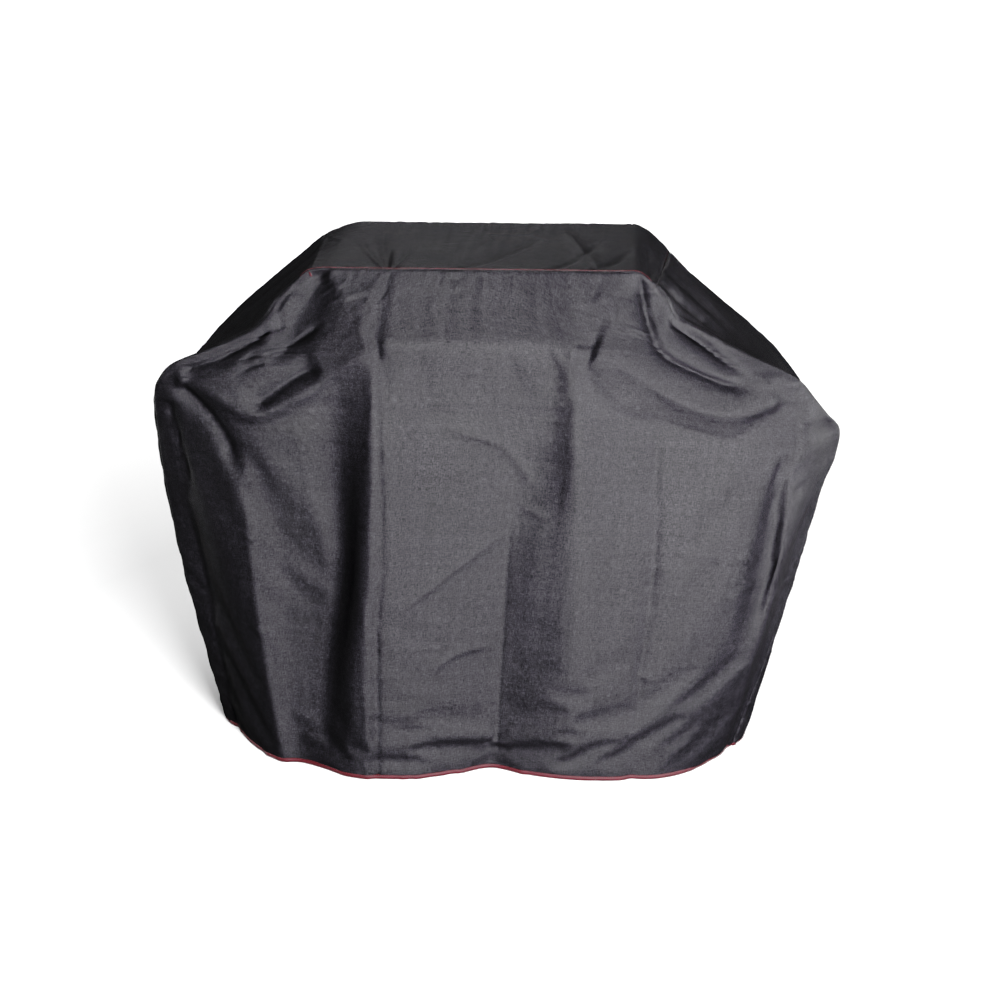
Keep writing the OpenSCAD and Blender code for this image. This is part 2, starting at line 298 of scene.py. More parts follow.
# -------- folds
def distance_to(path, plane):
    """Signed distance from each point to a path in the plane, and how far along it, 0 to 1."""
    line = spline(path, 4 * len(path)) if len(path) > 2 else np.array(path, float)
    best = np.full(plane.shape[:-1], 9.0)
    along = np.zeros_like(best)
    side = np.ones_like(best)
    steps = len(line) - 1
    for k in range(steps):
        a, b = line[k], line[k + 1]
        leg = b - a
        rel = plane - a
        t = np.clip(rel @ leg / (leg @ leg), 0, 1)
        gap = rel - t[..., None] * leg
        d = np.hypot(gap[..., 0], gap[..., 1])
        near = d < best
        best = np.where(near, d, best)
        along = np.where(near, (k + t) / steps, along)
        side = np.where(near, np.sign(leg[0] * rel[..., 1] - leg[1] * rel[..., 0]), side)
    return best * side, along


def fold(plane, path, height, left, right, sharp, ends):
    """A ridge (height > 0) or valley along a path; left and right are its half widths.

    These are in millimetres.  sharp = 2 gives a rounded crest and 1 a creased one.  ends are
    the parts of the path over which it fades in and out.
    """
    d, t = distance_to(np.array(path) / MM, plane)
    width = np.where(d > 0, left / MM, right / MM)
    rise = smooth_step(0, ends[0], t) if ends[0] else 1.0
    tail = smooth_step(0, ends[1], 1 - t) if ends[1] else 1.0
    return height / MM * np.exp(-np.abs(d / width) ** sharp) * rise * tail


def normals_of(grid):
    """Unit normals of a grid of points."""
    du = np.gradient(grid, axis=1)
    dv = np.gradient(grid, axis=0)
    n = np.cross(du, dv)
    return n / np.maximum(np.linalg.norm(n, axis=-1, keepdims=True), 1e-12)


PLANE_AXES = {
    FRONT: (0, 2), BACK: (0, 2), TOP: (0, 1),
    LEFT: (1, 2), RIGHT: (1, 2)}


def plane_of(name, grid):
    """The two coordinates in which a panel's folds are placed."""
    a, b = PLANE_AXES[name]
    return np.stack([grid[..., a], grid[..., b]], -1)


def alike(height, left, right, sharp, ends, *paths):
    """Folds of one kind along several paths."""
    return [(path, height, left, right, sharp, ends) for path in paths]


# (path, height, left half width, right half width, sharpness, ends), as fold takes them
BIG_FOLDS = {
    FRONT: [
        # the brow where the cloth bends over the handle
        ([(-212, 996), (-100, 1000), (100, 1000), (205, 998)], 5, 12, 30, 1.0, (0.05, 0.05)),
        # the pleat that hangs from the handle's left end
        ([(-207, 990), (-224, 768), (-233, 518), (-249, 380), (-253, 250), (-257, 0)], 6, 13, 18,
         1.2, (0.05, 0)),
        # the crease where the cloth turns round the left corner
        ([(-540, 720), (-508, 620), (-503, 500), (-497, 380), (-487, 250), (-475, 140), (-460, 0)],
         7, 14, 30, 1.1, (0.2, 0)),
        # valleys and ridges that spread from the left shelf corner
        ([(-644, 883), (-601, 842), (-562, 799), (-538, 743), (-534, 680)], -16, 20, 18, 1.2,
         (0.08, 0.3)),
        ([(-672, 850), (-664, 790), (-655, 695), (-643, 580)], -12, 12, 16, 1.3, (0.1, 0.4)),
        # the soft crest under the handle's right end and the crease beyond it
        ([(200, 1000), (200, 860), (198, 600)], 8, 34, 40, 1.5, (0.02, 0.5)),
        ([(352, 802), (357, 619), (352, 450), (330, 175), (321, 0)], -6, 18, 12, 1.2, (0.1, 0)),
        # folds that hang from the right shelf corner
        ([(643, 884), (644, 834), (645, 778), (652, 690), (652, 600)], -13, 10, 18, 1.2,
         (0.06, 0.4)),
        ([(633, 772), (617, 736), (607, 640), (602, 500), (580, 320)], -12, 10, 18, 1.3,
         (0.15, 0.3)),
        ([(690, 820), (690, 700), (672, 560)], 10, 24, 22, 1.8, (0.2, 0.4)),
        # the swag between the handle's right end and the right shelf corner
        ([(222, 990), (287, 960), (353, 915), (419, 882), (484, 862), (548, 868), (615, 895)], 18,
         36, 24, 1.5, (0.03, 0.1)),
        ([(203, 972), (230, 918), (285, 856), (355, 838), (434, 818), (506, 802), (560, 830),
         (638, 872)], -6, 16, 34, 1.3, (0.08, 0.1)),
        ([(525, 832), (575, 857), (620, 868)], -6, 6, 10, 1.1, (0.2, 0.2)),
        # the two sharp folds down the right slope
        ([(320, 1112), (331, 1065), (346, 1018), (362, 988), (384, 968), (418, 950), (482, 922),
         (552, 903)], -24, 10, 24, 1.05, (0.05, 0.16)),
        ([(385, 1056), (406, 1034), (433, 1010), (479, 974), (519, 943), (552, 917)], -26, 8, 20,
         1.05, (0.1, 0.45)),
        ([(551, 914), (598, 922), (645, 900)], 7, 12, 16, 1.4, (0.2, 0.2)),
        # the pocket under the left slope: a lit flap beside a dark, wide valley
        ([(-318, 1126), (-345, 1095), (-368, 1062), (-396, 1024), (-417, 985), (-440, 937)], -20,
         54, 36, 1.5, (0.1, 0.3)),
        ([(-378, 1090), (-402, 1058), (-430, 1030), (-464, 998)], 8, 22, 12, 1.3, (0.15, 0.15)),
        # the dark fold beside the left seam and its branch
        ([(-632, 912), (-552, 944), (-513, 964), (-462, 994), (-440, 1020)], -13, 9, 12, 1.1,
         (0.1, 0.2)),
        ([(-460, 996), (-440, 1008), (-406, 1016)], -9, 10, 6, 1.1, (0.15, 0.25)),
        ([(-321, 1034), (-364, 1006), (-402, 984), (-424, 958), (-438, 935)], -8, 16, 6, 1.0,
         (0.2, 0.3)),
        # the left swag: a valley with a lit band under it, down to the shelf corner
        ([(-322, 942), (-375, 920), (-420, 889), (-478, 845)], -16, 12, 24, 1.1, (0.2, 0.12)),
        ([(-645, 896), (-597, 884), (-554, 870), (-480, 836), (-377, 878), (-312, 922), (-265, 957),
         (-209, 989)], 11, 28, 18, 1.5, (0.03, 0.03)),
        *alike(-4, 6, 6, 1.2, (0.3, 0.3), [(-498, 940), (-476, 957), (-451, 962)],
               [(-505, 907), (-488, 931), (-439, 949)])],
    BACK: [
        *alike(-12, 26, 26, 1.7, (0.1, 0.1), [(320, 1080), (400, 960), (520, 880), (630, 870)],
               [(-320, 1080), (-410, 960), (-520, 890), (-630, 875)]),
        ([(640, 885), (600, 780), (580, 620)], -10, 16, 20, 1.5, (0.1, 0.4)),
        ([(-640, 885), (-590, 780), (-560, 600)], -10, 20, 16, 1.5, (0.1, 0.4))],
    LEFT: [
        ([(-140, 1110), (-110, 1000), (-150, 900)], -10, 24, 24, 1.6, (0.1, 0.2)),
        ([(60, 1120), (30, 1000), (90, 880)], -8, 30, 30, 1.8, (0.1, 0.2))],
    RIGHT: [
        ([(-160, 1110), (-130, 1020), (-160, 920)], -12, 20, 24, 1.5, (0.05, 0.2)),
        ([(-60, 1120), (-20, 1000), (-80, 880)], -8, 30, 30, 1.8, (0.1, 0.2))],
    TOP: [
        ([(-191, -205), (-221, -60), (-250, 90)], -6, 16, 20, 1.3, (0.0, 0.3)),
        ([(-191, -205), (-245, -80), (-300, 60)], -5, 14, 16, 1.3, (0.0, 0.3)),
        ([(-60, -205), (20, -100), (110, 80)], -6, 24, 20, 1.5, (0.1, 0.3)),
        ([(235, -205), (196, -60), (143, 144)], 6, 20, 20, 1.5, (0.1, 0.3)),
        *alike(-6, 14, 18, 1.3, (0.05, 0.3), [(130, -205), (190, -100), (235, 60)],
               [(215, -205), (268, -110), (304, 0)]),
        ([(344, -190), (338, -100), (330, 80)], -8, 10, 12, 1.2, (0.05, 0.3))]}


def add_folds(grids, table):
    """Moves the panels' points along their normals by the folds in the table."""
    for name, folds in table.items():
        grid = grids[name]
        plane = plane_of(name, grid)
        move = sum(fold(plane, *shape) for shape in folds)
        edge = edge_fade(grid, 0.018)
        grid += normals_of(grid) * (move * edge)[..., None]


def lengths(grid):
    """Lengths along the rows and up the columns of a grid, from its first edges."""
    u, v = np.zeros(grid.shape[:2]), np.zeros(grid.shape[:2])
    u[:, 1:] = np.cumsum(np.linalg.norm(np.diff(grid, axis=1), axis=-1), axis=1)
    v[1:] = np.cumsum(np.linalg.norm(np.diff(grid, axis=0), axis=-1), axis=0)
    return u, v


def edge_fade(grid, width):
    """0 on a panel's seams and 1 beyond width from them; the hem stays free."""
    u, v = lengths(grid)
    near = np.minimum(np.minimum(u, u[:, -1:] - u), v[-1:] - v)
    return smooth_step(0, width, near)


# -------- draping the cloth
SETTLE_FRAMES = 26           # frames that the cloth is left to settle over the grill
SLACK = 0.003                # extra length in the cloth, as a share
FARTHEST = 0.022             # farthest that a point may move while it settles
CLOTH_SETTINGS = {
    "quality": 6, "mass": 0.30, "tension_stiffness": 30, "compression_stiffness": 30,
    "shear_stiffness": 8, "bending_stiffness": 6.0, "tension_damping": 12,
    "compression_damping": 12, "shear_damping": 12, "bending_damping": 1.0, "air_damping": 3.0,
    "shrink_min": -SLACK, "vertex_group_mass": "hold", "pin_stiffness": 1.0}


def box_faces(low, high):
    """Corners and quads of a box."""
    corners = [(x, y, z) for z in (low[2], high[2])
               for x, y in ((low[0], low[1]), (high[0], low[1]), (high[0], high[1]),
                            (low[0], high[1]))]
    quads = [(3, 2, 1, 0), (4, 5, 6, 7), (0, 1, 5, 4), (1, 2, 6, 5), (2, 3, 7, 6), (3, 0, 4, 7)]
    return corners, quads


def stand_in_grill():
    """The closed lid, its handle and the two side shelves, as far as they hold the cloth."""
    parts = [((-0.300, -0.185, 0.700), (0.300, 0.185, 1.112)),
             ((-0.205, -0.268, 0.970), (0.205, -0.240, 0.990)),
             ((-0.622, -0.205, 0.815), (0.600, 0.180, 0.846))]
    points, faces = [], []
    for low, high in parts:
        corners, quads = box_faces(low, high)
        faces += [[k + len(points) for k in quad] for quad in quads]
        points += corners
    grill = make_mesh("stand_in_grill", np.array(points), np.array(faces))
    grill.modifiers.new("collision", "COLLISION")
    grill.collision.thickness_outer = 0.004
    grill.collision.cloth_friction = 20
    return grill


def settle(grids):
    """Sews the panels into one sheet and lets it settle over the grill as cloth."""
    names = sorted(grids)
    every = np.concatenate([grids[name].reshape(-1, 3) for name in names])
    _, first, index = np.unique(np.round(every * 1e4).astype(int), axis=0,
                                return_index=True, return_inverse=True)
    index = index.ravel()
    points = every[first]
    hold = np.zeros(len(every))
    faces, start = [], 0
    for name in names:
        rows, cols = grids[name].shape[:2]
        faces.append(index[grid_faces(rows, cols, start)])
        u = np.abs(np.linspace(-1, 1, cols))[None]
        v = np.linspace(0, 1, rows)[:, None]
        seam = np.maximum(u ** 30, v ** 40)
        weight = 0.20 + 0.30 * seam + 0.15 * np.exp(-v / 0.02)
        if name == TOP:
            weight = np.full_like(seam, 0.35)
        hold[start:start + rows * cols] = weight.ravel()
        start += rows * cols
    sheet = make_mesh("draping_cloth", points, np.concatenate(faces))
    group = sheet.vertex_groups.new(name="hold")
    levels = np.round(hold[first], 2)
    for level in np.unique(levels):
        group.add([int(k) for k in np.nonzero(levels == level)[0]], float(level), "REPLACE")
    grill = stand_in_grill()
    cloth = sheet.modifiers.new("cloth", "CLOTH")
    for key, value in CLOTH_SETTINGS.items():
        setattr(cloth.settings, key, value)
    cloth.settings.effector_weights.gravity = 0.5
    cloth.collision_settings.distance_min = 0.004
    cloth.collision_settings.use_self_collision = False
    cloth.point_cache.frame_start = 1
    cloth.point_cache.frame_end = SETTLE_FRAMES
    scene = bpy.context.scene
    for frame_number in range(1, SETTLE_FRAMES + 1):
        scene.frame_set(frame_number)
    graph = bpy.context.evaluated_depsgraph_get()
    settled = sheet.evaluated_get(graph).to_mesh()
    moved = np.zeros(len(points) * 3)
    settled.vertices.foreach_get("co", moved)
    moved = moved.reshape(-1, 3)
    for old in (sheet, grill):
        bpy.data.objects.remove(old)
    scene.frame_set(1)
    shift = moved - points
    far = np.linalg.norm(shift, axis=1, keepdims=True)
    shift *= np.tanh(far / FARTHEST) * FARTHEST / np.maximum(far, 1e-9)
    points = points + shift
    start = 0
    for name in names:
        grid = grids[name]
        count = grid.shape[0] * grid.shape[1]
        grids[name] = points[index[start:start + count]].reshape(grid.shape)
        start += count


# -------- random heights
def noise(plane, size, seed):
    """Smooth random heights from -1 to 1 whose features are about size across."""
    table = np.random.default_rng(seed).uniform(-1, 1, (97, 97))
    p = plane / size + 31.7
    i = np.floor(p).astype(int)
    f = p - i
    f = f * f * f * (f * (f * 6 - 15) + 10)
    a, b = i[..., 0] % 97, i[..., 1] % 97
    c, d = (a + 1) % 97, (b + 1) % 97
    low = table[a, b] * (1 - f[..., 0]) + table[c, b] * f[..., 0]
    high = table[a, d] * (1 - f[..., 0]) + table[c, d] * f[..., 0]
    return low * (1 - f[..., 1]) + high * f[..., 1]


def crumple(plane, size, seed, sharp=8):
    """Heights of a lightly crumpled cloth: thin ridges that wander and meet."""
    bend = np.stack([noise(plane, size * 1.7, seed + 1), noise(plane, size * 1.7, seed + 2)], -1)
    p = plane + bend * size * 0.6
    ridge = (1 - np.abs(noise(p, size, seed + 3))) ** sharp
    other = (1 - np.abs(noise(p[..., ::-1], size * 1.3, seed + 4))) ** sharp
    return np.maximum(ridge, other) - 0.3


# -------- grids to meshes
def refine(grid, axis, at):
    """Reads a grid along one axis at fractional places, on a smooth curve through its points."""
    g = np.moveaxis(grid, axis, 0)
    g = np.concatenate([2 * g[:1] - g[1:2], g, 2 * g[-1:] - g[-2:-1]])
    k = np.clip(np.floor(at).astype(int), 0, len(g) - 4)
    t = (at - k).reshape((-1,) + (1,) * (g.ndim - 1))
    return np.moveaxis(between(g[k], g[k + 1], g[k + 2], g[k + 3], t), 0, axis)


def fine_places(cells, both_ends):
    """Places along a side of the grid: every half cell, with closer lines at a seam."""
    at = np.arange(0, 2 * cells + 1) / 2
    close = np.array((0.18, 0.34))
    extra = np.concatenate([close if both_ends else [], cells - close])
    return np.sort(np.concatenate([at, extra]))


def grid_faces(rows, cols, start=0, flip=False):
    """Quads over a grid of points that is numbered row by row."""
    i = np.arange(rows * cols).reshape(rows, cols) + start
    quads = np.stack([i[:-1, :-1], i[:-1, 1:], i[1:, 1:], i[1:, :-1]], -1).reshape(-1, 4)
    return quads[:, ::-1] if flip else quads


def make_mesh(name, points, faces, values=None):
    """An object from arrays of points and quads, with named values on its points."""
    mesh = bpy.data.meshes.new(name)
    mesh.vertices.add(len(points))
    mesh.vertices.foreach_set("co", np.asarray(points, np.float32).ravel())
    flat = np.asarray(faces, np.int32)
    mesh.loops.add(flat.size)
    mesh.loops.foreach_set("vertex_index", flat.ravel())
    mesh.polygons.add(len(flat))
    mesh.polygons.foreach_set("loop_start", np.arange(0, flat.size, flat.shape[1], dtype=np.int32))
    mesh.update(calc_edges=True)
    mesh.validate()
    mesh.shade_smooth()
    for key, value in (values or {}).items():
        kind = "FLOAT_VECTOR" if value.ndim == 2 else "FLOAT"
        field = "vector" if value.ndim == 2 else "value"
        attribute = mesh.attributes.new(key, kind, "POINT")
        attribute.data.foreach_set(field, np.asarray(value, np.float32).ravel())
    obj = bpy.data.objects.new(name, mesh)
    bpy.context.scene.collection.objects.link(obj)
    return obj


def two_layers(name, grid, thickness, values):
    """A closed cloth panel: an outer and an inner layer joined round the edge."""
    rows, cols = grid.shape[:2]
    count = rows * cols
    inner = grid - normals_of(grid) * thickness
    points = np.concatenate([grid.reshape(-1, 3), inner.reshape(-1, 3)])
    i = np.arange(count).reshape(rows, cols)
    rim = np.concatenate([i[0], i[1:, -1], i[-1, -2::-1], i[-2:0:-1, 0]])
    nxt = np.roll(rim, -1)
    edge = np.stack([rim, rim + count, nxt + count, nxt], -1)
    faces = np.concatenate([grid_faces(rows, cols), grid_faces(rows, cols, count, True), edge])
    doubled = {k: np.concatenate([v.reshape(count, -1)] * 2).squeeze() for k, v in values.items()}
    doubled["inside"] = np.concatenate([np.zeros(count), np.ones(count)])
    return make_mesh(name, points, faces, doubled)


# -------- finer folds and creases
FINE_FOLDS = {
    FRONT: [
        # the cloth creased over the handle
        ([(-222, 996), (-190, 1004), (0, 1005), (190, 1004), (215, 998)], 3.6, 20, 85, 1.0,
         (0.08, 0.08)),
        ([(-207, 990), (-210, 800), (-209, 650), (-213, 500), (-227, 380), (-231, 250), (-234, 140),
         (-237, 0)], -5.5, 5, 8, 1.0, (0.02, 0)),
        ([(352, 802), (358, 650), (357, 500), (343, 350), (325, 100)], -4, 6, 8, 1.0, (0.05, 0.2)),
        ([(-193, 391), (-70, 488), (58, 589)], 5, 14, 7, 1.0, (0.2, 0.2)),
        ([(-182, 316), (-63, 314)], 2.5, 6, 9, 1.0, (0.3, 0.3)),
        ([(-123, 252), (-50, 300), (24, 304)], 5, 10, 6, 1.0, (0.3, 0.3)),
        ([(-83, 815), (39, 774), (120, 665)], 5, 11, 7, 1.0, (0.3, 0.3)),
        *alike(2.5, 6, 6, 1.0, (0.3, 0.3), [(65, 648), (100, 720)], [(65, 648), (20, 700)],
               [(65, 648), (150, 610)]),
        ([(54, 618), (42, 385), (29, 188), (21, 22)], -3.5, 7, 10, 1.0, (0.1, 0.1)),
        ([(330, 262), (352, 250), (378, 254)], 3, 5, 5, 1.1, (0.2, 0.3)),
        *alike(3, 6, 6, 1.1, (0.3, 0.3), [(-535, 560), (-505, 545), (-480, 552)],
               [(-520, 330), (-492, 318), (-462, 324)]),
        *alike(-3, 5, 5, 1.1, (0.0, 0.3), [(-190, 1118), (-196, 1085), (-214, 1066)],
               [(236, 1112), (228, 1090), (214, 1076)])],
    TOP: [
        *alike(-3.5, 6, 8, 1.0, (0.0, 0.4), [(-191, -205), (-205, -110), (-214, 0)],
               [(-191, -205), (-228, -120), (-262, -40)],
               [(-191, -205), (-170, -110), (-168, -20)]),
        *alike(-3, 6, 8, 1.0, (0.0, 0.4), [(235, -205), (262, -140), (292, -70)],
               [(235, -205), (205, -130), (206, -50)]),
        ([(338, -195), (322, -100), (318, 40)], -4, 6, 8, 1.0, (0.0, 0.4)),
        ([(352, -190), (352, -120), (346, -40)], -4, 6, 6, 1.0, (0.0, 0.4))],
    RIGHT: [
        *alike(-4, 6, 7, 1.0, (0.1, 0.4), [(-195, 1020), (-140, 1045), (-100, 1035)],
               [(-195, 1012), (-130, 1000), (-80, 1010)]),
        ([(-180, 1085), (-130, 1070), (-60, 1076)], 3, 7, 7, 1.1, (0.2, 0.4))],
    LEFT: [
        ([(-190, 1060), (-130, 1020), (-100, 960)], 4, 8, 8, 1.0, (0.1, 0.4)),
        ([(-180, 1020), (-110, 990), (-60, 1000)], -4, 7, 7, 1.0, (0.1, 0.4))]}


def detail(name, grid, seed):
    """A fine grid with its small creases and crumpling, and its pattern coordinates."""
    plane = plane_of(name, grid)
    u, v = lengths(grid)
    pattern = np.stack([u - u[:, -1:] / 2, v], -1)
    move = np.zeros(grid.shape[:2])
    for shape in FINE_FOLDS.get(name, []):
        move += fold(plane, *shape)
    patch = smooth_step(-0.1, 0.6, noise(pattern, 0.23, seed + 60))
    move += patch * (0.0018 * crumple(pattern, 0.090, seed)
                     + 0.0010 * crumple(pattern, 0.045, seed + 20))
    fade = edge_fade(grid, 0.02)
    return grid + normals_of(grid) * (move * fade)[..., None], pattern


def pucker(name, grid, pattern, seed):
    """Turns the cloth in at its seams and puckers it along the stitching."""
    u, v = pattern[..., 0], pattern[..., 1]
    gap = np.minimum(u - u[:, :1], u[:, -1:] - u)
    if name == TOP:
        gap = np.minimum(gap, np.minimum(v, v[-1:] - v))
        along = u + v
    else:
        gap = np.minimum(gap, v[-1:] - v)
        along = np.where(gap == v[-1:] - v, u, v)
    line = np.stack([along, gap * 0.5], -1)
    waves = noise(line, 0.016, seed + 50) * 0.0011 * np.exp(-gap / 0.016)
    turn = -0.0024 * np.exp(-(gap / 0.0032) ** 1.5)
    hill = 0.0008 * np.exp(-((gap - 0.008) / 0.005) ** 2)
    return grid + normals_of(grid) * (turn + hill + waves * smooth_step(0, 0.004, gap))[..., None]


# -------- materials
# Colours, as linear red, green and blue
CHARCOAL = (0.0178, 0.0169, 0.0196)
LINING = (0.030, 0.030, 0.032, 1)
DARK_RED = (0.050, 0.0065, 0.0105)
THREAD_RED = (0.110, 0.014, 0.022)


def tree_of(name):
    """A new material with an empty node tree, and functions that add nodes to it."""
    material = bpy.data.materials.new(name)
    material.use_nodes = True
    tree = material.node_tree
    tree.nodes.clear()

    def add(kind, links=None, **settings):
        node = tree.nodes.new("ShaderNode" + kind)
        for key, value in settings.items():
            setattr(node, key, value)
        for socket, value in (links or {}).items():
            target = node.inputs[socket]
            if isinstance(value, bpy.types.NodeSocket):
                tree.links.new(value, target)
            else:
                target.default_value = value
        return node

    def join(operation, a, b):
        return add("Math", {0: a, 1: b}, operation=operation).outputs[0]

    def remap(value, low, high, to_low, to_high):
        return add("MapRange", {"Value": value, "From Min": low, "From Max": high,
                                          "To Min": to_low, "To Max": to_high}).outputs[0]

    def tinted(tint, shade):
        return add("VectorMath", {0: tint, "Scale": shade}, operation="SCALE").outputs[0]

    return material, add, join, remap, tinted


def cloth_material(name, tint, lining):
    """Heathered, lightly coated polyester cloth with a coated back."""
    material, add, join, remap, tinted = tree_of(name)
    pattern = add("Attribute", attribute_name="pattern").outputs["Vector"]
    inside = add("Attribute", attribute_name="inside").outputs["Fac"]

    def streaks(scale_u, scale_v, detail=2.0):
        stretch = add("Mapping", {"Vector": pattern, "Scale": (scale_u, scale_v, 1)})
        return add("TexNoise", {"Vector": stretch.outputs[0], "Scale": 1.0,
                                          "Detail": detail}).outputs["Fac"]

    def threads(direction, period):
        return add("TexWave", {"Vector": pattern, "Scale": math.pi / period / 10,
                                         "Distortion": 0.3, "Detail": 1.0},
                   bands_direction=direction).outputs["Fac"]

    cloud = streaks(9, 7, 4.0)
    heather = remap(join("ADD", streaks(900, 60), streaks(70, 800)), 0.7, 1.3, 0.35, 1.8)
    patchy = remap(cloud, 0.3, 0.7, 0.91, 1.09)
    lined = remap(join("ADD", streaks(95, 4), streaks(4, 95)), 0.7, 1.3, 0.84, 1.16)
    slub = remap(streaks(300, 230, 1.0), 0.3, 0.7, 0.66, 1.34)
    shade = join("MULTIPLY", join("MULTIPLY", heather, slub), join("MULTIPLY", lined, patchy))
    mix = add("Mix", {"Factor": inside}, data_type="RGBA")
    outside, back = [socket for socket in mix.inputs if socket.type == "RGBA"]
    material.node_tree.links.new(tinted(tint, shade), outside)
    back.default_value = lining
    colour = [socket for socket in mix.outputs if socket.type == "RGBA"][0]
    weave = join("MAXIMUM", threads("X", 0.0011), threads("Y", 0.0011))
    slubs = join("ADD", streaks(30, 170, 3.0), streaks(170, 26, 3.0))
    weave_bump = add("Bump", {"Height": join("ADD", weave, slubs), "Strength": 0.45,
                                        "Distance": 0.0008})
    soft_dents = add("Bump", {"Height": streaks(34, 30, 3.0), "Strength": 0.35,
                                        "Distance": 0.0035, "Normal": weave_bump.outputs[0]})
    shader = add("BsdfPrincipled", {
        "Base Color": colour, "Roughness": remap(cloud, 0.3, 0.7, 0.54, 0.62),
        "Normal": soft_dents.outputs[0], "Specular IOR Level": 0.40, "Sheen Weight": 0.0})
    add("OutputMaterial", {"Surface": shader.outputs[0]})
    return material


def tape_material(name, tint):
    """Woven binding tape: fine ribs across its width and a little colour variation."""
    material, add, join, remap, tinted = tree_of(name)
    pattern = add("Attribute", attribute_name="pattern").outputs["Vector"]
    ribs = add("TexWave", {"Vector": pattern, "Scale": math.pi / 0.0014 / 10,
                                     "Distortion": 0.5}, bands_direction="X").outputs["Fac"]
    grain = add("TexNoise", {"Vector": pattern, "Scale": 120.0,
                                       "Detail": 3.0}).outputs["Fac"]
    bump = add("Bump", {"Height": join("ADD", ribs, grain), "Strength": 0.35,
                                  "Distance": 0.0004})
    shader = add("BsdfPrincipled", {
        "Base Color": tinted(tint, remap(grain, 0.3, 0.7, 0.75, 1.25)),
        "Roughness": remap(grain, 0, 1, 0.55, 0.80), "Normal": bump.outputs[0],
        "Sheen Weight": 0.2})
    add("OutputMaterial", {"Surface": shader.outputs[0]})
    return material


def floor_material():
    """A pale, matt studio floor that runs out into an evenly lit backdrop."""
    material, add, _, remap, tinted = tree_of("pale_floor")
    grain = add("TexNoise", {"Scale": 3.0, "Detail": 2.0}).outputs["Fac"]
    place = add("NewGeometry").outputs["Position"]
    far = add("VectorMath", {0: place}, operation="LENGTH").outputs["Value"]
    shader = add("BsdfPrincipled", {
        "Base Color": tinted((1, 1, 1), remap(grain, 0, 1, 0.84, 0.87)), "Roughness": 0.8,
        "Emission Color": (1, 1, 1, 1), "Emission Strength": remap(far, 1.3, 4.0, 0, 1.1)})
    add("OutputMaterial", {"Surface": shader.outputs[0]})
    return material


# -------- camera, light and floor
def set_camera():
    """The view of the photographed cover: from a little to the right, above and in front."""
    data = bpy.data.cameras.new("camera")
    data.lens = 57.6
    data.sensor_width = 36.0
    data.clip_start, data.clip_end = 0.05, 60
    camera = bpy.data.objects.new("camera", data)
    bpy.context.scene.collection.objects.link(camera)
    yaw, pitch, roll = math.radians(4.85), math.radians(23.04), math.radians(-0.54)
    turn = Euler((math.pi / 2 - pitch, 0, yaw)).to_matrix().to_4x4()
    camera.matrix_world = (Matrix.Translation((0.295, -3.322, 1.957)) @ turn
                           @ Matrix.Rotation(roll, 4, "Z"))
    bpy.context.scene.camera = camera


def add_light(name, place, aim, size, power):
    """A soft square light at place, turned to aim, that is not seen itself."""
    data = bpy.data.lights.new(name, "AREA")
    data.size, data.energy = size, power
    light = bpy.data.objects.new(name, data)
    light.location = place
    light.rotation_euler = (Vector(aim) - Vector(place)).to_track_quat("-Z", "Y").to_euler()
    light.visible_camera = False
    bpy.context.scene.collection.objects.link(light)
    return light


def set_studio():
    """A round pale floor that turns up into a backdrop, and soft lights."""
    scene = bpy.context.scene
    rings = [(r, 0.0) for r in np.linspace(0.01, 6.0, 24)]
    rings += [(6.0 + 1.4 * math.sin(a), 1.4 - 1.4 * math.cos(a))
              for a in np.linspace(0.1, math.pi / 2, 12)] + [(7.4, z) for z in (3.0, 6.0, 9.0)]
    turn = np.linspace(0, 2 * math.pi, 97)
    points = np.array([[(r * math.cos(a), r * math.sin(a), z - 0.0005) for a in turn]
                       for r, z in rings])
    floor = make_mesh("studio_floor", points.reshape(-1, 3),
                      grid_faces(len(rings), len(turn), flip=True))
    floor.data.materials.append(floor_material())
    floor.visible_diffuse = floor.visible_glossy = False
    world = bpy.data.worlds.new("studio")
    world.use_nodes = True
    scene.world = world
    sky = world.node_tree.nodes["Background"]
    sky.inputs["Color"].default_value = (1, 1, 1, 1)
    sky.inputs["Strength"].default_value = 0.04
    for_floor = bpy.data.collections.new("for_floor")
    not_floor = bpy.data.collections.new("not_floor")
    for group in (for_floor, not_floor):
        group.objects.link(floor)
    not_floor.collection_objects[0].light_linking.link_state = "EXCLUDE"
    add_light("key", (0.94, -2.62, 1.02), (0, 0, 0.85), 0.9, 274)
    add_light("floor_wash", (0, 0, 5.0), (0, 0, 0), 6.0,
              340).light_linking.receiver_collection = for_floor
    for name, place, size, power in (("overhead", (-0.2, 1.3, 3.4), 1.6, 80),
                                     ("back", (0, 3.4, 0.4), 1.2, 330),
                                     ("left", (-3.2, 0.7, 0.6), 1.2, 40),
                                     ("right", (3.2, 0.9, 0.8), 1.4, 70)):
        light = add_light(name, place, (0, 0, 0.5), size, power)
        light.light_linking.receiver_collection = not_floor
    scene.view_settings.view_transform = "Standard"
    scene.view_settings.use_curve_mapping = True
    curve = scene.view_settings.curve_mapping
    curve.initialize()
    for place, value in ((0.020, 0.003), (0.055, 0.014), (0.085, 0.040), (0.12, 0.092),
                         (0.16, 0.148), (0.30, 0.31)):
        curve.curves[3].points.new(place, value)
    curve.update()


# -------- tapes and thread
def unit(v):
    """Vectors scaled to length 1."""
    return v / np.maximum(np.linalg.norm(v, axis=-1, keepdims=True), 1e-12)


def evened(path, inward, step, closed=False):
    """A path and its inward directions read again at an even step."""
    run = run_along(path)
    count = max(3, int(round(run[-1] / step)))
    at = np.linspace(0, run[-1], count + 1)
    both = np.concatenate([path, inward], axis=1)
    both = np.stack([np.interp(at, run, both[:, k]) for k in range(6)], -1)
    if closed:
        both = both[:-1]
    return both[:, :3], unit(both[:, 3:]), run[-1] / count


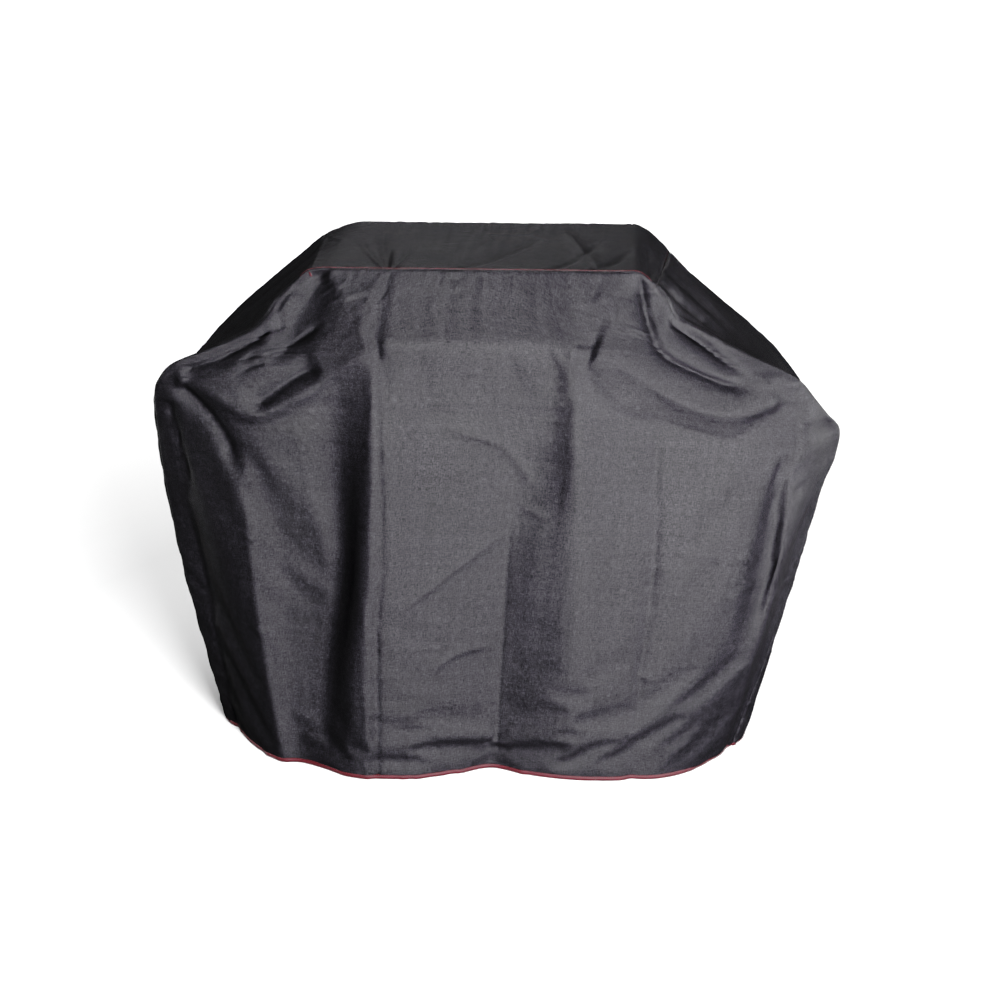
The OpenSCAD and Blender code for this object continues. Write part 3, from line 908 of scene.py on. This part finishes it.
def smoothed(values, passes, closed=False):
    """Values averaged with their neighbours a number of times."""
    for _ in range(passes):
        if closed:
            values = (np.roll(values, 1, 0) + 2 * values + np.roll(values, -1, 0)) / 4
        else:
            middle = (values[:-2] + 2 * values[1:-1] + values[2:]) / 4
            values = np.concatenate([values[:1], middle, values[-1:]])
    return values


def frames(path, inward, closed=False):
    """Tangent, inward and sideways directions along a path."""
    if closed:
        tangent = np.roll(path, -1, 0) - np.roll(path, 1, 0)
    else:
        tangent = np.gradient(path, axis=0)
    tangent = unit(tangent)
    inward = unit(inward - (inward * tangent).sum(-1, keepdims=True) * tangent)
    return tangent, inward, np.cross(tangent, inward)


def sweep(name, path, inward, section, closed=False):
    """A solid band: a section of (inward, sideways) points carried along a path."""
    tangent, depth, side = frames(path, inward, closed)
    section = np.array(section, float)
    points = (path[:, None] + section[None, :, :1] * depth[:, None]
              + section[None, :, 1:] * side[:, None])
    rings, sides = points.shape[:2]
    i = np.arange(rings * sides).reshape(rings, sides)
    here, there = (i, np.roll(i, -1, 0)) if closed else (i[:-1], i[1:])
    quads = np.stack([here, there, np.roll(there, -1, 1), np.roll(here, -1, 1)], -1)
    faces = [quads.reshape(-1, 4)]
    if not closed:
        half = sides // 2
        for ring, turn in ((i[0], 1), (i[-1], -1)):
            cap = [[ring[k], ring[k + 1], ring[sides - 2 - k], ring[sides - 1 - k]]
                   for k in range(half - 1)]
            faces.append(np.array(cap)[:, ::turn])
    run = run_along(path)
    around = np.cumsum(np.linalg.norm(np.diff(section, axis=0, prepend=section[:1]), axis=1))
    pattern = np.stack(np.broadcast_arrays(run[:, None], around[None], 0.0), -1).reshape(-1, 3)
    return make_mesh(name, points.reshape(-1, 3), np.concatenate(faces), {"pattern": pattern})


def stitches(name, rows, length):
    """Sewing thread as separate stitches; rows is a list of (starts, ends) arrays."""
    starts = np.concatenate([r[0] for r in rows])
    ends = np.concatenate([r[1] for r in rows])
    ups = np.concatenate([r[2] for r in rows])
    along = unit(ends - starts)
    side = unit(np.cross(along, ups))
    up = np.cross(side, along)
    turn = np.arange(6) * math.pi / 3
    ring = np.cos(turn)[:, None, None] * side[None] + np.sin(turn)[:, None, None] * up[None]
    layers = []
    for place, thick, lift in ((0.0, 0.35, -0.9), (0.3, 1.0, 0.25), (0.7, 1.0, 0.25),
                               (1.0, 0.35, -0.9)):
        middle = starts + (ends - starts) * place + up * lift * THREAD_R
        layers.append(middle[None] + ring * THREAD_R * thick)
    points = np.stack(layers).transpose(2, 0, 1, 3)
    count = len(starts)
    i = np.arange(count * 24).reshape(count, 4, 6)
    walls = np.stack([i[:, :-1], np.roll(i[:, :-1], -1, 2), np.roll(i[:, 1:], -1, 2), i[:, 1:]],
                     -1).reshape(-1, 4)
    caps = [i[:, 0][:, [0, 5, 4, 3]], i[:, 0][:, [0, 3, 2, 1]],
            i[:, 3][:, [0, 1, 2, 3]], i[:, 3][:, [0, 3, 4, 5]]]
    pattern = np.stack(np.broadcast_arrays(
        np.arange(count)[:, None, None] * length + np.array((0, 0.3, 0.7, 1))[None, :, None] * length,
        turn[None, None] * THREAD_R, 0.0), -1).reshape(-1, 3)
    return make_mesh(name, points.reshape(-1, 3), np.concatenate([walls] + caps),
                     {"pattern": pattern})


def run_of_stitches(path, inward, depth, sideways, closed=False):
    """Starts, ends and outward directions of the stitches along a path."""
    tangent, into, side = frames(path, inward, closed)
    line = path + into * depth + side * sideways
    after = np.roll(line, -1, 0) if closed else line[1:]
    line = line if closed else line[:-1]
    up = np.sign(sideways) * side if sideways else -into
    return line, line + (after - line) * STITCH_SHARE, up[:len(line)]


TAPE_SECTION = [(0.0010, 0.0011), (0.0060, 0.0013), (SEAM_TAPE_W - 0.0006, 0.0011),
                (SEAM_TAPE_W, 0.0), (SEAM_TAPE_W, -0.0), (SEAM_TAPE_W - 0.0006, -0.0011),
                (0.0060, -0.0013), (0.0010, -0.0011)]


def seam_line(fine, parts):
    """A seam's path, and the inward direction between the two cloths that meet there."""
    path, inward = [], []
    for name, edge, other, other_edge in parts:
        path.append(fine[name][edge])
        inward.append(-unit(normals_of(fine[name])[edge] + normals_of(fine[other])[other_edge]))
    return np.concatenate(path), np.concatenate(inward)


# The edges of a panel's grid
FIRST_COL, LAST_COL, FIRST_ROW, LAST_ROW = np.s_[:, 0], np.s_[:, -1], np.s_[0], np.s_[-1]
FIRST_COL_DOWN, LAST_COL_DOWN, LAST_ROW_BACK = np.s_[::-1, 0], np.s_[::-1, -1], np.s_[-1, ::-1]

SEAMS = {
    "front_seam": [(FRONT, FIRST_COL, LEFT, LAST_COL),
                   (FRONT, LAST_ROW, TOP, FIRST_ROW),
                   (FRONT, LAST_COL_DOWN, RIGHT, FIRST_COL_DOWN)],
    "back_seam": [(BACK, FIRST_COL, RIGHT, LAST_COL),
                  (BACK, LAST_ROW, TOP, LAST_ROW_BACK),
                  (BACK, LAST_COL_DOWN, LEFT, FIRST_COL_DOWN)],
    "left_top_seam": [(LEFT, LAST_ROW, TOP, FIRST_COL_DOWN)],
    "right_top_seam": [(RIGHT, LAST_ROW, TOP, LAST_COL)]}


def finish_piece(piece, material, node):
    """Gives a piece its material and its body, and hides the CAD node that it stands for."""
    piece.data.materials.append(material)
    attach(piece, "root")
    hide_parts(node)
    return piece


def build_seams(fine, tape, thread):
    """The bound seam allowances inside the cover and the stitches in the seams."""
    made = {}
    for name, parts in SEAMS.items():
        path, inward = seam_line(fine, parts)
        keep = np.concatenate([[True], np.linalg.norm(np.diff(path, axis=0), axis=1) > 1e-5])
        path, inward, step = evened(path[keep], smoothed(inward[keep], 12), STITCH)
        inward = smoothed(inward, 10)
        band = sweep(name + "_tape", path + inward * 0.0012, inward, TAPE_SECTION)
        finish_piece(band, tape, name + "_binding")
        peep = 0.0006 + 0.0011 * (0.5 + 0.5 * noise(
            np.stack([np.arange(len(path)) * step, np.zeros(len(path))], -1), 0.07, 5))
        if name == "front_seam":
            peep = peep - 0.0026 * smooth_step(1.105, 1.120, path[:, 2])
        rows = [run_of_stitches(path + inward * peep[:, None], inward, 0.0, 0.0)]
        for face in (1, -1):
            rows.append(run_of_stitches(path, inward, 0.0085, face * 0.0015))
        sewn = stitches(name + "_thread", rows, step)
        finish_piece(sewn, thread, name + "_stitching")
        made[name] = [band, sewn]
    return made


def build_hem(fine, tape, thread):
    """The tape folded over the hem all the way round, with its line of stitches."""
    walls = (FRONT, RIGHT, BACK, LEFT)
    path = np.concatenate([fine[name][0, :-1] for name in walls])
    inward = np.concatenate([-normals_of(fine[name])[0, :-1] for name in walls])
    path = np.concatenate([path, path[:1]])
    inward = np.concatenate([inward, inward[:1]])
    path, inward, step = evened(path, inward, STITCH, True)
    inward = smoothed(inward * (1, 1, 0), 6, True)
    path[:, 2] = TAPE_T
    out, back = -0.0013, CLOTH_T + 0.0013
    low, high = -TAPE_T, TAPE_H - TAPE_T
    section = [(out, high), (out, low + 0.0006), (out + 0.0006, low), (back - 0.0006, low),
               (back, low + 0.0006), (back, high), (back - 0.0009, high),
               (back - 0.0009, low + 0.0009), (out + 0.0009, low + 0.0009), (out + 0.0009, high)]
    wave = 0.0004 * noise(np.stack([np.arange(len(path)) * step, 0 * path[:, 0]], -1), 0.02, 9)
    band = sweep("hem_tape", path - inward * wave[:, None], inward,
                 section, True)
    finish_piece(band, tape, "hem_binding")
    rows = [run_of_stitches(path + (0, 0, high - 0.0022), inward, out - 0.0001, 0.0, True)]
    inner = run_of_stitches(path + (0, 0, high - 0.0022), inward, back + 0.0001, 0.0, True)
    rows.append((inner[0], inner[1], -inner[2]))
    sewn = stitches("hem_thread", rows, step)
    finish_piece(sewn, thread, "hem_stitching")
    return [band, sewn]


# -------- the build
def level_hem(name, grid):
    """Brings the hem's edge to the height where the folded tape stands on the floor."""
    if name == TOP:
        return grid
    lift = TAPE_T - grid[0, :, 2]
    rise = np.exp(-(grid[..., 2] - grid[0, :, 2]) / 0.03)
    grid = grid.copy()
    grid[..., 2] += lift * rise
    return grid


# Each panel: its material slot, the flat width and length of its cut with seam allowances, the
# area of the cut, which tapers up the slopes and down to the hem, what holds it up, and the
# seams that it is sewn into
PANELS = {
    FRONT: ("skirt_cloth", (1.64, 1.41), 1.66, ["grill_lid", "lid_handle", "shelf_ends"],
            ("front_seam",)),
    BACK: ("skirt_cloth", (1.60, 1.40), 1.60, ["grill_lid", "shelf_ends"], ("back_seam",)),
    TOP: ("band_cloth", (0.80, 0.44), 0.31, ["grill_lid"],
          ("front_seam", "back_seam", "left_top_seam", "right_top_seam")),
    LEFT: ("band_cloth", (0.53, 1.39), 0.47, ["left_shelf"],
           ("front_seam", "back_seam", "left_top_seam")),
    RIGHT: ("band_cloth", (0.54, 1.40), 0.49, ["right_shelf"],
            ("front_seam", "back_seam", "right_top_seam"))}


def declare_sheets(made, seams, hem):
    """Gathers each panel's cut, what holds it up and the seam and hem pieces sewn to it; nothing more
    is done with them.
    """
    for name, piece in made.items():
        _, flat, area, held_by, sewn_into = PANELS[name]
        sewn = [band for seam in sewn_into for band in seams[seam]]
        if name != TOP:
            sewn += hem


def build_panels(grids, cloths):
    """The five finished cloth panels and the fine grids that they were made from."""
    made, fine_grids = {}, {}
    for k, (name, grid) in enumerate(sorted(grids.items())):
        rows, cols = grid.shape[0] - 1, grid.shape[1] - 1
        fine = refine(grid, 0, fine_places(rows, name == TOP))
        fine = refine(fine, 1, fine_places(cols, True))
        fine, pattern = detail(name, fine, 100 * k)
        fine = level_hem(name, pucker(name, fine, pattern, 100 * k))
        fine_grids[name] = fine
        flat = np.concatenate([pattern, np.zeros(pattern.shape[:2] + (1,))], -1)
        piece = two_layers(name + "_cloth", fine, CLOTH_T, {"pattern": flat.reshape(-1, 3)})
        slot = PANELS[name][0]
        made[name] = finish_piece(piece, cloths[slot], name)
    return made, fine_grids


set_camera()
set_studio()
cloths = {slot: cloth_material(slot, CHARCOAL, LINING) for slot in ("skirt_cloth", "band_cloth")}
tape = tape_material("red_tape", DARK_RED)
thread = tape_material("red_thread", THREAD_RED)
panels = lay_out()
add_folds(panels, BIG_FOLDS)
settle(panels)
made, fine_grids = build_panels(panels, cloths)
seams = build_seams(fine_grids, tape, thread)
hem = build_hem(fine_grids, tape, thread)
declare_sheets(made, seams, hem)
